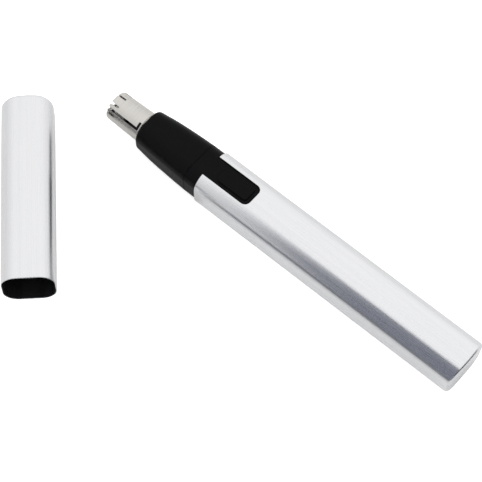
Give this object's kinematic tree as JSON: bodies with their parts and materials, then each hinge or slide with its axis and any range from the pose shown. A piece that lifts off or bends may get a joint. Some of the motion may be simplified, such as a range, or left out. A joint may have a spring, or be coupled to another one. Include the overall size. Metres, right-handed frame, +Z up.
{
  "type": "nose hair trimmer",
  "caption": "Pen-shaped battery nose hair trimmer: oval aluminium body, black slide switch and nose cone, slotted steel guard over a rotary cutter, and a push-on aluminium cap lying beside it.",
  "frame": {"origin": "middle of the flat back of the body tube, 50 mm behind its rim, on the surface that the trimmer lies on", "axes": "+X from the cutting head to the closed tail, +Z up through the switch face, +Y to the side away from the cap"},
  "size_m": [0.1678, 0.0798, 0.015],
  "materials": {
    "aluminium": "drawn, satin, brushed along its length",
    "black_plastic": "moulded, satin",
    "steel": "turned and polished",
    "zinc_plate": "plated",
    "brass": "turned",
    "copper": "stamped copper alloy",
    "ferrite": "sintered, matt",
    "white_plastic": "moulded acetal",
    "cell_sleeve": "shrink sleeve, plain",
    "red_wire": "PVC insulation",
    "black_wire": "PVC insulation"
  },
  "bodies": {
    "housing": {"body_tube": "aluminium"},
    "chassis": {"switch_collar": "black_plastic", "chassis_screw_near": "zinc_plate", "chassis_screw_far": "zinc_plate", "nose_cone": "black_plastic", "bayonet_ring": "steel", "chassis_tray": "black_plastic", "switch_contact_motor": "copper", "switch_contact_return": "copper", "motor_can": "zinc_plate", "motor_end_cap": "white_plastic", "motor_bush": "brass", "motor_magnet_far": "ferrite", "motor_magnet_near": "ferrite", "motor_terminal_far": "copper", "motor_terminal_near": "copper", "spindle_bush": "brass", "battery_cell": "cell_sleeve", "battery_spring": "steel", "positive_contact": "zinc_plate", "negative_contact": "zinc_plate", "return_strip": "zinc_plate", "lead_red": "red_wire", "lead_black": "black_wire"},
    "switch": {"switch_button": "black_plastic", "switch_wiper": "copper"},
    "guard": {"guard_sleeve": "steel"},
    "rotor": {"motor_shaft": "steel", "motor_armature": "zinc_plate", "motor_commutator": "copper", "drive_coupling": "white_plastic"},
    "cutter": {"cutter_spindle": "steel", "cutter_hub": "white_plastic", "cutter_spring": "steel", "cutter_blade": "steel"},
    "cap": {"cap_shell": "aluminium", "cap_liner": "black_plastic"}
  },
  "joints": [
    {"name": "chassis_slide", "type": "slide", "parent": "housing", "child": "chassis", "axis": [-1, 0, 0], "range_m": [0, 0.088]},
    {"name": "switch_slide", "type": "slide", "parent": "chassis", "child": "switch", "axis": [-1, 0, 0], "range_m": [0, 0.0026]},
    {"name": "guard_twist", "type": "hinge", "parent": "chassis", "child": "guard", "pos_m": [-0.0776, 0, 0.0075], "axis": [-1, 0, 0], "range_deg": [0, 21]},
    {"name": "motor_spin", "type": "hinge", "parent": "chassis", "child": "rotor", "pos_m": [-0.04, 0, 0.0075], "axis": [-1, 0, 0], "continuous": true},
    {"name": "cutter_spin", "type": "hinge", "parent": "chassis", "child": "cutter", "pos_m": [-0.0776, 0, 0.0075], "axis": [-1, 0, 0], "continuous": true},
    {"name": "cap_push_on", "type": "slide", "parent": "housing", "child": "cap", "axis": [0.6915, -0.7224, 0], "range_m": [0, 0.0405]}
  ],
  "couplings": [
    {"joint": "cutter_spin", "follows": "motor_spin", "ratio": 1}
  ]
}
